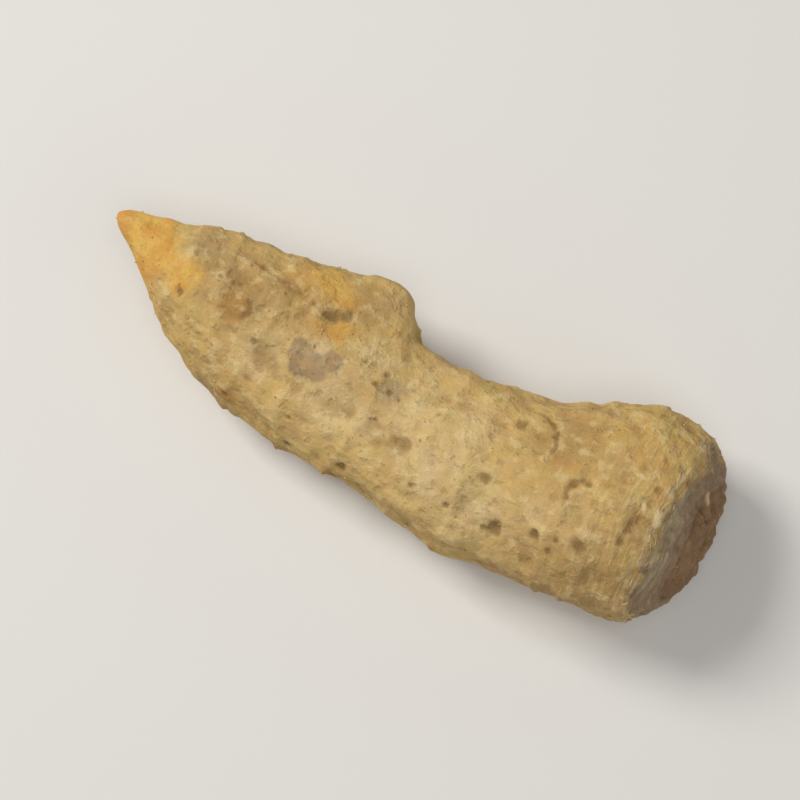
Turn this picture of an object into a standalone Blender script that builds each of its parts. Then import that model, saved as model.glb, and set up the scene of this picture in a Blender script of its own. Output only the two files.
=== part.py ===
"""A dried turmeric root: one finger of the rhizome, lying on a flat surface.

Metres, +Z up. The root lies along X, with its conical growing tip at -X and its broken end at +X.
The origin is on the surface that the root rests on, below the middle of its bounding box.

The root is one solid. It starts as a sphere whose poles become the tip and the middle of the broken
end, and every point of the sphere is carried to its place by formulas: a body that widens and narrows
along a gently bent axis, a knob on one side, raised rings, drying furrows and bud scars.
"""

import math
import random

import bmesh
import bpy
import numpy as np

MM = 0.001

# Driving dimensions. Every other size is a share of these.
LENGTH = 50.0 * MM
HALF_WIDTH = 8.0 * MM
FLATNESS = 0.87

# How many faces the solid has round the root and from tip to broken end.
FACES_ROUND = 60
FACES_ALONG = 86

# The axis and outline, read along the root as (share of LENGTH from the tip, share of HALF_WIDTH).
SIDEWAYS = (
    (0.00, 0.42), (0.05, 0.35), (0.10, 0.25), (0.20, 0.15), (0.29, 0.10), (0.40, 0.02),
    (0.52, -0.12), (0.70, -0.12), (0.80, 0.01), (0.92, 0.13), (1.00, 0.13),
)
WIDTH = (
    (0.00, 0.06), (0.02, 0.12), (0.05, 0.21), (0.10, 0.38), (0.14, 0.52), (0.19, 0.64), (0.28, 0.79),
    (0.39, 0.82), (0.52, 0.73), (0.62, 0.80), (0.71, 0.83), (0.79, 0.94), (0.86, 1.00), (0.92, 0.97),
    (1.00, 0.95),
)
AXIS_HEIGHT = (
    (0.00, 0.95), (0.14, 0.86), (0.27, 0.71), (0.38, 0.66), (0.52, 0.71),
    (0.70, 0.76), (0.86, 0.81), (1.00, 0.82),
)

# The growing tip: how much of the length is its small round end, and where relief reaches full height.
TIP_ROUND = 0.016
RELIEF_FROM = 0.10

# The broken end: where it starts to round off, how it bulges, and how far it leans back to face upwards.
RIM_AT = 0.905
END_POWER = 2.15
END_LEAN = math.radians(10)
LEAN_FROM = 0.62

# Which shares of the sphere's rows become the tip and the broken end.
TIP_ROWS = 0.05
END_ROWS = 0.15

# The torn scar on the end, in shares of HALF_WIDTH: where its lip of skin is, its step, and its waves. A
# wave is (how many go round the scar, phase, size, power of how far out a point is), so that one of
# power 2 is flat in the middle.
LIP_AT = 0.955
LIP_REACH = 0.06
LIP_HEIGHT = 0.012
SCAR_STEP = 0.024
SCAR_FROM = 0.2
SCAR_WAVES = ((1, -2.4, -0.020, 1), (3, 0.6, 0.026, 1), (5, 2.1, 0.020, 2))

# Low swellings of the body: (along, angle round, height, reach towards the tip, reach towards the broken
# end, reach round). Angles run from +Y, over the top at a right angle. The first is the knob.
SWELLINGS = (
    (0.437, math.radians(14), 0.260, 0.090, 0.036, 0.60),
    (0.300, math.radians(78), 0.050, 0.075, 0.060, 0.55),
    (0.660, math.radians(205), 0.075, 0.050, 0.045, 0.50),
    (0.855, math.radians(20), 0.055, 0.060, 0.050, 0.60),
    (0.600, math.radians(95), 0.045, 0.070, 0.060, 0.60),
)

# Faint rings left by the scale leaves: (along, height), wider apart where the root grew faster. A ring
# leans to one side, waves a little, and is strong on some sides and weak on others.
RINGS = (
    (0.090, 0.012), (0.140, 0.018), (0.198, 0.022), (0.272, 0.016), (0.352, 0.018), (0.462, 0.024),
    (0.562, 0.018), (0.648, 0.022), (0.738, 0.020), (0.800, 0.022), (0.848, 0.016), (0.892, 0.022),
)
RING_SPREAD = 0.0110
RING_LEAN = 0.012
RING_WAVE = 0.0045
RING_STRENGTH = 0.60
RING_SWING = 0.40
RING_SEED = 11

# Bud scars: (along, angle round, radius as a share of HALF_WIDTH). Each is a low rim round a shallow dish.
BUD_SCARS = (
    (0.228, math.radians(80), 0.22),
    (0.560, math.radians(248), 0.27),
    (0.700, math.radians(224), 0.20),
    (0.330, math.radians(196), 0.24),
    (0.405, math.radians(2), 0.30),
)
SCAR_RIM = 0.022
SCAR_RIM_REACH = 0.30
SCAR_DISH = 0.042
SCAR_DISH_REACH = 0.72

# Drying furrows. Each draws its middle, half run, twist, half width and depth from these ranges.
FURROWS = 13
FURROW_DEPTH = 0.036
FURROW_JITTER = 0.3
FURROW_MIDDLES = (0.20, 0.85)
FURROW_HALF_RUNS = (0.12, 0.30)
FURROW_TWISTS = (-1.2, 1.2)
FURROW_HALF_WIDTHS = (0.12, 0.24)
FURROW_DEPTHS = (0.35, 1.0)
FURROW_SEED = 29

# Slow unevenness: waves round the root, from the widest to the narrowest.
UNEVENNESS = 0.030
UNEVEN_WAVES = range(2, 8)
UNEVEN_DRIFT = 9.0
UNEVEN_SWAY = 11.0
UNEVEN_SWING = 0.4
UNEVEN_SEED = 5


def smooth_through(points, at):
    """The value at each place of a smooth curve through (place, value) points.

    Between two points the curve is a cubic, and its slope at a point is that of the line between the
    point's two neighbours.
    """
    place, value = np.array(points).T
    slope = np.gradient(value, place)
    right = np.clip(np.searchsorted(place, at), 1, len(place) - 1)
    left = right - 1
    gap = place[right] - place[left]
    t = (np.clip(at, place[0], place[-1]) - place[left]) / gap
    rise = value[right] - value[left]
    bend_in = slope[left] * gap - rise
    bend_out = rise - slope[right] * gap
    return value[left] + t * rise + t * (1 - t) * ((1 - t) * bend_in + t * bend_out)


def turned_from(angle, other):
    """How far one angle is from another, the short way round."""
    return np.angle(np.exp(1j * (angle - other)))


def swellings(along, around):
    """Each swelling is a bell, with its own reach towards the tip, the broken end and round the root."""
    relief = np.zeros_like(along)
    for place, angle, height, to_tip, to_end, reach_round in SWELLINGS:
        reach = np.where(along < place, to_tip, to_end)
        bell = ((along - place) / reach) ** 2 + (turned_from(around, angle) / reach_round) ** 2
        relief += height * np.exp(-bell)
    return relief


def rings(along, around):
    """Each ring is a narrow ridge that leans to one side and waves a little on its way round."""
    draw = random.Random(RING_SEED)
    relief = np.zeros_like(along)
    for place, height in RINGS:
        lean_to, wave_from = draw.uniform(0, math.tau), draw.uniform(0, math.tau)
        centre = place + RING_LEAN * np.cos(around - lean_to) + RING_WAVE * np.sin(3 * around + wave_from)
        strength = RING_STRENGTH + RING_SWING * np.sin(2 * around + wave_from + lean_to)
        relief += height * strength * np.exp(-(((along - centre) / RING_SPREAD) ** 2))
    return relief


def furrows(along, around):
    """Drying furrows: each runs along the root for part of its length, twists a little and fades out."""
    draw = random.Random(FURROW_SEED)
    relief = np.zeros_like(along)
    for number in range(FURROWS):
        angle = math.tau * (number + draw.uniform(-FURROW_JITTER, FURROW_JITTER)) / FURROWS
        middle, half_run = draw.uniform(*FURROW_MIDDLES), draw.uniform(*FURROW_HALF_RUNS)
        twist, half_width = draw.uniform(*FURROW_TWISTS), draw.uniform(*FURROW_HALF_WIDTHS)
        depth = FURROW_DEPTH * draw.uniform(*FURROW_DEPTHS)
        off_line = turned_from(around, angle + twist * (along - middle))
        fade = np.exp(-(((along - middle) / half_run) ** 4))
        relief -= depth * fade * np.exp(-((off_line / half_width) ** 2))
    return relief


def unevenness(along, around):
    """A sum of waves round the root whose phases drift along it, so that no two sections are alike."""
    draw = random.Random(UNEVEN_SEED)
    relief = np.zeros_like(along)
    for waves in UNEVEN_WAVES:
        phase, sway = draw.uniform(0, math.tau), draw.uniform(0, math.tau)
        drift = draw.uniform(-UNEVEN_DRIFT, UNEVEN_DRIFT)
        swell = 1 - UNEVEN_SWING + UNEVEN_SWING * np.sin(UNEVEN_SWAY * along + sway)
        relief += UNEVENNESS * waves**-0.6 * swell * np.cos(waves * around + phase + drift * along)
    return relief


def bud_scars(along, around, half_width):
    """Each scar is a round rim with a dish inside it, measured over the surface from the scar's centre."""
    relief = np.zeros_like(along)
    for place, angle, radius in BUD_SCARS:
        off_along = (along - place) * LENGTH / HALF_WIDTH
        off_round = turned_from(around, angle) * half_width
        out = np.hypot(off_along, off_round) / radius
        relief += SCAR_RIM * np.exp(-(((out - 1) / SCAR_RIM_REACH) ** 2))
        relief -= SCAR_DISH * np.exp(-((out / SCAR_DISH_REACH) ** 4))
    return relief


def end_relief(around, out, forward):
    """The torn scar of the broken end: it steps in behind a lip of skin and is waved like snapped wood."""
    on_end = np.clip(forward / SCAR_FROM, 0, 1)
    inside = np.clip((LIP_AT - out) / LIP_REACH, 0, 1) * on_end
    lip = LIP_HEIGHT * np.exp(-(((out - LIP_AT) / LIP_REACH) ** 2)) * on_end
    waves = np.zeros_like(out)
    for count, phase, size, power in SCAR_WAVES:
        waves += size * out**power * np.cos(count * around + phase)
    return lip + inside * (waves - SCAR_STEP)


def path_from_tip_to_end(t):
    """Where each row of the sphere goes, t being 0 at the tip's pole and 1 at the broken end's.

    Gives the place along the root, how far out from the axis as a share of the section, and how far the
    row stands forward on the broken end. The tip is a quarter circle, then comes the body, and the broken
    end is a quarter of a superellipse.
    """
    tip = np.clip(t / TIP_ROWS, 0, 1) * math.pi / 2
    body = np.clip((t - TIP_ROWS) / (1 - TIP_ROWS - END_ROWS), 0, 1)
    end = np.clip((t - 1 + END_ROWS) / END_ROWS, 0, 1) * math.pi / 2
    along = np.where(t < TIP_ROWS, TIP_ROUND * (1 - np.cos(tip)), TIP_ROUND + body * (RIM_AT - TIP_ROUND))
    out = np.where(t < TIP_ROWS, np.sin(tip), np.cos(end) ** (2 / END_POWER))
    forward = np.sin(end) ** (2 / END_POWER)
    return along, out, forward


def root_surface(t, around):
    """Points of the root's surface, for arrays of t from tip to broken end and the angle round it."""
    along, out, forward = path_from_tip_to_end(t)
    half_width = smooth_through(WIDTH, along)
    fade_at_tip = np.clip(along / RELIEF_FROM, 0, 1)
    relief = swellings(along, around) + rings(along, around) * fade_at_tip
    relief = relief + (furrows(along, around) + unevenness(along, around)) * fade_at_tip
    relief = relief + bud_scars(along, around, half_width)
    radius = HALF_WIDTH * (half_width + relief) * out
    sideways = radius * np.cos(around)
    upwards = radius * np.sin(around) * FLATNESS
    lean = math.tan(END_LEAN) * np.clip((along - LEAN_FROM) / (RIM_AT - LEAN_FROM), 0, 1)
    x = LENGTH * (along + forward * (1 - RIM_AT)) - lean * upwards
    x = x + HALF_WIDTH * end_relief(around, out, forward)
    y = HALF_WIDTH * smooth_through(SIDEWAYS, along) + sideways
    z = HALF_WIDTH * smooth_through(AXIS_HEIGHT, along) + upwards
    return np.stack([x, y, z], axis=-1)


def lay_on_surface(points):
    """Flattens what would reach below the surface, and centres the root over the origin."""
    points[:, 2] = np.maximum(points[:, 2], 0.0)
    low, high = points.min(axis=0), points.max(axis=0)
    points[:, :2] -= (low[:2] + high[:2]) / 2
    return points


def skin_material():
    """Matt, dusty yellow-brown skin."""
    material = bpy.data.materials.new("dried_turmeric_skin")
    material.use_nodes = True
    shader = material.node_tree.nodes["Principled BSDF"]
    shader.inputs["Base Color"].default_value = (0.50, 0.34, 0.13, 1.0)
    shader.inputs["Roughness"].default_value = 0.85
    shader.inputs["Metallic"].default_value = 0.0
    return material


def make_root(collection):
    """The root: a sphere carried point by point to the root's surface."""
    ball = bmesh.new()
    bmesh.ops.create_uvsphere(ball, u_segments=FACES_ROUND, v_segments=FACES_ALONG, radius=1.0)
    sphere = np.array([vertex.co for vertex in ball.verts])
    t = 1 - np.arccos(np.clip(sphere[:, 2], -1, 1)) / math.pi
    around = -np.arctan2(sphere[:, 1], sphere[:, 0])
    points = lay_on_surface(root_surface(t, around))
    for vertex, point in zip(ball.verts, points):
        vertex.co = point
    bmesh.ops.recalc_face_normals(ball, faces=ball.faces)
    mesh = bpy.data.meshes.new("turmeric_root")
    ball.to_mesh(mesh)
    ball.free()
    mesh.shade_smooth()
    mesh.materials.append(skin_material())
    root = bpy.data.objects.new("turmeric_root", mesh)
    collection.objects.link(root)
    return root


def main():
    for old in list(bpy.data.objects):
        bpy.data.objects.remove(old)
    collection = bpy.data.collections.new("turmeric_root_parts")
    bpy.context.scene.collection.children.link(collection)
    make_root(collection)


main()
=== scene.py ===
# %% [markdown]
# # A dried turmeric root, dressed
# The frame is one solid: a finger of turmeric that was boiled, dried and rubbed. On the real root the
# whole look is in the skin: faint growth rings, drying furrows, pits where rootlets broke off, rubbed
# orange patches and a dusty, mottled yellow. So this script grows one fine surface over the solid, gives
# it a skin, and adds the few loose fibres and crumbs of powder that cling to it.

# %% Load the frame
import itertools
import math
import random

import bpy
import numpy as np
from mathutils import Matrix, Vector


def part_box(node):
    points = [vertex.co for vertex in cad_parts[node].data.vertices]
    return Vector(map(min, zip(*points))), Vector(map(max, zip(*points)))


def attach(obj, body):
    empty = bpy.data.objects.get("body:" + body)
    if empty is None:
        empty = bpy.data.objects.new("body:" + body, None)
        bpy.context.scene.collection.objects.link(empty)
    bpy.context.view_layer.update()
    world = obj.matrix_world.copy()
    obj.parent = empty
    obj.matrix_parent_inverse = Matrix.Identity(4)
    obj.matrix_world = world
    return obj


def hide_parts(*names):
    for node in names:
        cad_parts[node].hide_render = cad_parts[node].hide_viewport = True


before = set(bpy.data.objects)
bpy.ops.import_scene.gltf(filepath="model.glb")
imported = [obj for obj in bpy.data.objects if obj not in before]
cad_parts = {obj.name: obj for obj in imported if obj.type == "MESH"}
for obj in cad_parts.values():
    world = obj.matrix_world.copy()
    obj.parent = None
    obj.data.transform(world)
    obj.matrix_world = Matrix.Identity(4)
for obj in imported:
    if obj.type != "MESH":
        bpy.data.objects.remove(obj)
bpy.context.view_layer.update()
ROOT_NODE = "turmeric_root"
ROOT_BODY = "root"
MM = 0.001
low, high = (np.array(corner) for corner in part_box(ROOT_NODE))
print("the solid is", np.round((high - low) / MM, 1), "mm")

# %% [markdown]
# ## The stage and the camera
# The photograph looks straight at the root's side. This one lies on a table, so the camera looks down
# on it, turned so that the tip points to the upper left as it does there, and comes close enough for the
# root to fill the picture. A long lens keeps the perspective as flat as the photograph's.

# %% Camera
VIEW_AZIMUTH = math.radians(27.3)
VIEW_ELEVATION = math.radians(80)
CAMERA_LENS = 110.0
CAMERA_AWAY = 0.180
NEAREST_SEEN = 0.01


def aim(thing, place, at):
    """Puts a camera or a lamp at a place and points its -Z axis at another."""
    thing.location = place
    thing.rotation_euler = (Vector(at) - Vector(place)).to_track_quat("-Z", "Y").to_euler()


def direction_of(azimuth, elevation):
    """The unit vector from the root towards a viewer at that azimuth and elevation."""
    flat = math.cos(elevation)
    return Vector((math.sin(azimuth) * flat, -math.cos(azimuth) * flat, math.sin(elevation)))


camera = bpy.data.objects.new("camera", bpy.data.cameras.new("camera"))
bpy.context.scene.collection.objects.link(camera)
camera.data.lens = CAMERA_LENS
camera.data.clip_start = NEAREST_SEEN
look_at = Vector((low + high) / 2)
aim(camera, look_at + direction_of(VIEW_AZIMUTH, VIEW_ELEVATION) * CAMERA_AWAY, look_at)
bpy.context.scene.camera = camera
print("the camera stands at", np.round(np.array(camera.location) / MM), "mm")

# %% [markdown]
# Soft light hides nothing on a matt, dusty thing, but one broad lamp has to come from the side to show
# its relief. The key lamp stands at the upper left of the picture, as the photograph's light does. A
# second one, nearly overhead, and a faint one from the lower right keep the shaded side readable. A
# lamp's power is worked out from how bright it should make a white sheet on the floor, so that all the
# light together makes such a sheet just not clip.

# %% Lights and floor
LAMPS = (
    ("key", VIEW_AZIMUTH - math.radians(125), math.radians(47), 0.50, 0.18, 0.47, (1.0, 0.97, 0.92)),
    ("fill", VIEW_AZIMUTH + math.radians(50), math.radians(40), 0.60, 0.50, 0.07, (0.96, 0.97, 1.0)),
    ("front", VIEW_AZIMUTH, math.radians(78), 0.60, 0.30, 0.23, (1.0, 0.98, 0.95)),
)
WORLD_LIGHT = 0.20
WORLD_COLOUR = (1.0, 0.99, 0.97, 1.0)
FLOOR_COLOUR = (0.80, 0.79, 0.77, 1.0)
FLOOR_ROUGHNESS = 0.9
FLOOR_HALF_SIDE = 1.5
FLOOR_BELOW = 0.00002


def add_lamps():
    """Broad square lamps: azimuth, elevation, distance, side, share of white on the floor, and colour.
    A sheet lit by power P from distance d and elevation e shines with P sin(e) / (pi d)^2."""
    for name, azimuth, elevation, away, side, white, colour in LAMPS:
        lamp = bpy.data.objects.new(name, bpy.data.lights.new(name, "AREA"))
        bpy.context.scene.collection.objects.link(lamp)
        lamp.data.size = side
        lamp.data.energy = white * (math.pi * away) ** 2 / math.sin(elevation)
        lamp.data.color = colour
        aim(lamp, look_at + direction_of(azimuth, elevation) * away, look_at)
        print(name, "lamp:", round(lamp.data.energy, 3), "W")


def add_floor():
    """A wide pale sheet at the height that the root rests on."""
    side = FLOOR_HALF_SIDE
    corners = [(-side, -side), (side, -side), (side, side), (-side, side)]
    mesh = bpy.data.meshes.new("floor")
    mesh.from_pydata([(x, y, low[2] - FLOOR_BELOW) for x, y in corners], [], [(0, 1, 2, 3)])
    floor = bpy.data.objects.new("floor", mesh)
    bpy.context.scene.collection.objects.link(floor)
    material = bpy.data.materials.new("pale_floor")
    material.use_nodes = True
    shader = material.node_tree.nodes["Principled BSDF"]
    shader.inputs["Base Color"].default_value = FLOOR_COLOUR
    shader.inputs["Roughness"].default_value = FLOOR_ROUGHNESS
    mesh.materials.append(material)


def light_the_room():
    """An even pale world, and colours shown as they are."""
    world = bpy.data.worlds.new("soft_room")
    world.use_nodes = True
    background = world.node_tree.nodes["Background"]
    background.inputs["Color"].default_value = WORLD_COLOUR
    background.inputs["Strength"].default_value = WORLD_LIGHT
    bpy.context.scene.world = world
    bpy.context.scene.view_settings.view_transform = "Standard"


add_lamps()
add_floor()
light_the_room()

# %% [markdown]
# ## The form of the root
# The solid's own formulas are used again, on a grid about four times finer each way. The root is a body
# that widens and narrows along a bent axis. Its outline is read off smooth curves through a few points,
# each a place along the root with a share of the half width.

# %% Outline of the body
SLENDERNESS = 6.25
FLATNESS = 0.87
SIDEWAYS = (
    (0.00, 0.42), (0.05, 0.35), (0.10, 0.25), (0.20, 0.15), (0.29, 0.10), (0.40, 0.02),
    (0.52, -0.12), (0.70, -0.12), (0.80, 0.01), (0.92, 0.13), (1.00, 0.13),
)
WIDTH = (
    (0.00, 0.06), (0.02, 0.12), (0.05, 0.21), (0.10, 0.38), (0.14, 0.52), (0.19, 0.64), (0.28, 0.79),
    (0.39, 0.82), (0.52, 0.73), (0.62, 0.80), (0.71, 0.83), (0.79, 0.94), (0.86, 1.00), (0.92, 0.97),
    (1.00, 0.95),
)
AXIS_HEIGHT = (
    (0.00, 0.95), (0.14, 0.86), (0.27, 0.71), (0.38, 0.66), (0.52, 0.71),
    (0.70, 0.76), (0.86, 0.81), (1.00, 0.82),
)


def smooth_through(points, at):
    """The value at each place of a smooth curve through (place, value) points. Between two points it is a
    cubic, and its slope at a point is that of the line between the point's two neighbours."""
    place, value = np.array(points).T
    slope = np.gradient(value, place)
    right = np.clip(np.searchsorted(place, at), 1, len(place) - 1)
    left = right - 1
    gap = place[right] - place[left]
    t = (np.clip(at, place[0], place[-1]) - place[left]) / gap
    rise = value[right] - value[left]
    bend_in = slope[left] * gap - rise
    bend_out = rise - slope[right] * gap
    return value[left] + t * rise + t * (1 - t) * ((1 - t) * bend_in + t * bend_out)


def turned_from(angle, other):
    """How far one angle is from another, the short way round."""
    return np.angle(np.exp(1j * (angle - other)))


# %% [markdown]
# On top of the outline come the swellings, of which the first is the side knob, then the faint rings
# that the scale leaves left, the furrows of drying, a slow unevenness, and the round scars of buds.
# Each is a height that depends on the place along the root and the angle round it, so they simply add up.

# %% Swellings and rings
SWELLINGS = (
    (0.437, math.radians(14), 0.260, 0.090, 0.036, 0.60),
    (0.300, math.radians(78), 0.050, 0.075, 0.060, 0.55),
    (0.660, math.radians(205), 0.075, 0.050, 0.045, 0.50),
    (0.855, math.radians(20), 0.055, 0.060, 0.050, 0.60),
    (0.600, math.radians(95), 0.045, 0.070, 0.060, 0.60),
)
RINGS = (
    (0.090, 0.012), (0.140, 0.018), (0.198, 0.022), (0.272, 0.016), (0.352, 0.018), (0.462, 0.024),
    (0.562, 0.018), (0.648, 0.022), (0.738, 0.020), (0.800, 0.022), (0.848, 0.016), (0.892, 0.022),
)
RING_SPREAD = 0.0110
RING_LEAN = 0.012
RING_WAVE = 0.0045
RING_STRENGTH = 0.60
RING_SWING = 0.40
RING_SEED = 11


def bell(off, reach, power=2):
    """Is 1 where off is 0 and falls away past reach: e to the minus off over reach, raised to a power. A
    higher power makes a flatter top and steeper sides."""
    return np.exp(-((off / reach) ** power))


def swellings(along, around):
    """Each swelling is a bell, with its own reach towards the tip, the broken end and round the root."""
    relief = np.zeros_like(along)
    for place, angle, height, to_tip, to_end, reach_round in SWELLINGS:
        reach = np.where(along < place, to_tip, to_end)
        off_squared = ((along - place) / reach) ** 2 + (turned_from(around, angle) / reach_round) ** 2
        relief += height * np.exp(-off_squared)
    return relief


def ring_lines(along, around):
    """For each ring: its height, how strong it is at each angle, and how far each point is past it.
    A ring leans to one side and waves a little on its way round."""
    draw = random.Random(RING_SEED)
    for place, height in RINGS:
        lean_to, wave_from = draw.uniform(0, math.tau), draw.uniform(0, math.tau)
        centre = place + RING_LEAN * np.cos(around - lean_to) + RING_WAVE * np.sin(3 * around + wave_from)
        strength = RING_STRENGTH + RING_SWING * np.sin(2 * around + wave_from + lean_to)
        yield height, strength, along - centre


def rings(along, around):
    """Each ring is a narrow bell-shaped ridge on its line."""
    lines = ring_lines(along, around)
    return sum(height * strength * bell(off, RING_SPREAD) for height, strength, off in lines)


# %% Furrows, unevenness and bud scars
BUD_SCARS = (
    (0.228, math.radians(80), 0.22),
    (0.560, math.radians(248), 0.27),
    (0.700, math.radians(224), 0.20),
    (0.330, math.radians(196), 0.24),
    (0.405, math.radians(2), 0.30),
)
SCAR_RIM = 0.022
SCAR_RIM_REACH = 0.30
SCAR_DISH = 0.042
SCAR_DISH_REACH = 0.72
FURROWS = 13
FURROW_DEPTH = 0.036
FURROW_JITTER = 0.3
FURROW_MIDDLES = (0.20, 0.85)
FURROW_HALF_RUNS = (0.12, 0.30)
FURROW_TWISTS = (-1.2, 1.2)
FURROW_HALF_WIDTHS = (0.12, 0.24)
FURROW_DEPTHS = (0.35, 1.0)
FURROW_SEED = 29
UNEVENNESS = 0.030
UNEVEN_WAVES = range(2, 8)
UNEVEN_DRIFT = 9.0
UNEVEN_SWAY = 11.0
UNEVEN_SWING = 0.4
UNEVEN_SEED = 5


def furrows(along, around):
    """Each furrow runs along the root for part of its length, twists a little and fades out."""
    draw = random.Random(FURROW_SEED)
    relief = np.zeros_like(along)
    for number in range(FURROWS):
        angle = math.tau * (number + draw.uniform(-FURROW_JITTER, FURROW_JITTER)) / FURROWS
        middle, half_run = draw.uniform(*FURROW_MIDDLES), draw.uniform(*FURROW_HALF_RUNS)
        twist, half_width = draw.uniform(*FURROW_TWISTS), draw.uniform(*FURROW_HALF_WIDTHS)
        depth = FURROW_DEPTH * draw.uniform(*FURROW_DEPTHS)
        off_line = turned_from(around, angle + twist * (along - middle))
        fade = bell(along - middle, half_run, 4)
        relief -= depth * fade * bell(off_line, half_width)
    return relief


def unevenness(along, around):
    """A sum of waves round the root whose phases drift along it, so that no two sections are alike."""
    draw = random.Random(UNEVEN_SEED)
    relief = np.zeros_like(along)
    for waves in UNEVEN_WAVES:
        phase, sway = draw.uniform(0, math.tau), draw.uniform(0, math.tau)
        drift = draw.uniform(-UNEVEN_DRIFT, UNEVEN_DRIFT)
        swell = 1 - UNEVEN_SWING + UNEVEN_SWING * np.sin(UNEVEN_SWAY * along + sway)
        relief += UNEVENNESS * waves**-0.6 * swell * np.cos(waves * around + phase + drift * along)
    return relief


def out_from_scars(along, around, half_width):
    """How far each point is from each bud scar's middle, over the surface, in radii of that scar."""
    for place, angle, radius in BUD_SCARS:
        off_along = (along - place) * SLENDERNESS
        off_round = turned_from(around, angle) * half_width
        yield np.hypot(off_along, off_round) / radius


def bud_scars(along, around, half_width):
    """Each scar is a round rim with a dish inside it."""
    relief = np.zeros_like(along)
    for out in out_from_scars(along, around, half_width):
        relief += SCAR_RIM * bell(out - 1, SCAR_RIM_REACH)
        relief -= SCAR_DISH * bell(out, SCAR_DISH_REACH, 4)
    return relief


# %% [markdown]
# The tip closes in a small round nose and the broken end in a bulging scar that leans back a little,
# behind a lip of skin. One number t runs over all three stretches, from the tip's pole to the scar's.

# %% The whole smooth surface
TIP_ROUND = 0.016
RELIEF_FROM = 0.10
RIM_AT = 0.905
END_POWER = 2.15
END_LEAN = math.radians(10)
LEAN_FROM = 0.62
LIP_AT = 0.955
LIP_REACH = 0.06
LIP_HEIGHT = 0.012
SCAR_STEP = 0.024
SCAR_FROM = 0.2
SCAR_WAVES = ((1, -2.4, -0.020, 1), (3, 0.6, 0.026, 1), (5, 2.1, 0.020, 2))
TIP_ROWS = 0.025
END_ROWS = 0.165


def path_from_tip_to_end(t):
    """The place along the root, how far out from the axis, and how far forward on the broken end. The tip
    is a quarter circle, then comes the body, and the broken end is a quarter of a superellipse."""
    tip = np.clip(t / TIP_ROWS, 0, 1) * math.pi / 2
    body = np.clip((t - TIP_ROWS) / (1 - TIP_ROWS - END_ROWS), 0, 1)
    end = np.clip((t - 1 + END_ROWS) / END_ROWS, 0, 1) * math.pi / 2
    along = np.where(t < TIP_ROWS, TIP_ROUND * (1 - np.cos(tip)), TIP_ROUND + body * (RIM_AT - TIP_ROUND))
    out = np.where(t < TIP_ROWS, np.sin(tip), np.cos(end) ** (2 / END_POWER))
    return along, out, np.sin(end) ** (2 / END_POWER)


def end_relief(around, out, forward):
    """The torn scar steps in behind a lip of skin and is waved like snapped wood."""
    on_end = np.clip(forward / SCAR_FROM, 0, 1)
    inside = np.clip((LIP_AT - out) / LIP_REACH, 0, 1) * on_end
    lip = LIP_HEIGHT * bell(out - LIP_AT, LIP_REACH) * on_end
    waves = np.zeros_like(out)
    for count, phase, size, power in SCAR_WAVES:
        waves += size * out**power * np.cos(count * around + phase)
    return lip + inside * (waves - SCAR_STEP)


def body_relief(along, around, half_width):
    """All the relief that the solid has on its body, in half widths."""
    fade_at_tip = np.clip(along / RELIEF_FROM, 0, 1)
    faded = rings(along, around) + furrows(along, around) + unevenness(along, around)
    return swellings(along, around) + faded * fade_at_tip + bud_scars(along, around, half_width)


def smooth_root(t, around):
    """Points of the root with no fine relief, in half widths, before it is laid on the table."""
    along, out, forward = path_from_tip_to_end(t)
    half_width = smooth_through(WIDTH, along)
    radius = (half_width + body_relief(along, around, half_width)) * out
    upwards = radius * np.sin(around) * FLATNESS
    lean = math.tan(END_LEAN) * np.clip((along - LEAN_FROM) / (RIM_AT - LEAN_FROM), 0, 1)
    x = SLENDERNESS * (along + forward * (1 - RIM_AT)) - lean * upwards
    y = smooth_through(SIDEWAYS, along) + radius * np.cos(around)
    z = smooth_through(AXIS_HEIGHT, along) + upwards
    return np.stack([x + end_relief(around, out, forward), y, z], axis=-1)


# %% [markdown]
# The grid has a row for each step along the root and a column for each step round it. Its first and
# last rows are the two poles. Even steps of t would leave the rows far apart on the steep side of the
# knob, so the rows are spread by the distance that they travel, halfway between the mean round the root
# and the most. The smooth points are pressed flat where the root lies on the table, as the solid's are,
# and then fitted to the solid's box, so that the fine surface is exactly where the solid is.

# %% Grid on the solid
ROWS = 384
COLUMNS = 256
turn = np.arange(COLUMNS) * math.tau / COLUMNS
even = np.linspace(0, 1, ROWS + 1)
steps = np.linalg.norm(np.diff(smooth_root(*np.meshgrid(even, turn, indexing="ij")), axis=0), axis=-1)
passed = np.concatenate([[0], np.cumsum(steps.mean(axis=1) + steps.max(axis=1))])
t_row = np.interp(np.linspace(0, passed[-1], ROWS + 1), passed, even)
T, AROUND = np.meshgrid(t_row, turn, indexing="ij")
ALONG, OUT, FORWARD = path_from_tip_to_end(T)
drawn = smooth_root(T, AROUND)
drawn[..., 2] = np.maximum(drawn[..., 2], 0)
drawn_low, drawn_high = drawn.min(axis=(0, 1)), drawn.max(axis=(0, 1))
smooth = low + (drawn - drawn_low) * (high - low) / (drawn_high - drawn_low)
HALF_WIDTH_MM = (high - low)[0] / (drawn_high - drawn_low)[0] / MM


def normals_of(points):
    """Outward unit normals of the grid: the cross product of its steps round and along."""
    round_step = np.roll(points, -1, axis=1) - np.roll(points, 1, axis=1)
    normal = np.cross(round_step, np.gradient(points, axis=0))
    normal[0], normal[-1] = (-1, 0, 0), (1, 0, 0)
    return normal / np.maximum(np.linalg.norm(normal, axis=-1, keepdims=True), 1e-15)


normals = normals_of(smooth)
from_middle = smooth - smooth.mean(axis=1, keepdims=True)
faces = "out" if (from_middle * normals).sum() > 0 else "in"
print("half width", round(HALF_WIDTH_MM, 3), "mm, grid", smooth.shape[:2], "and normals point", faces)

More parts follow.
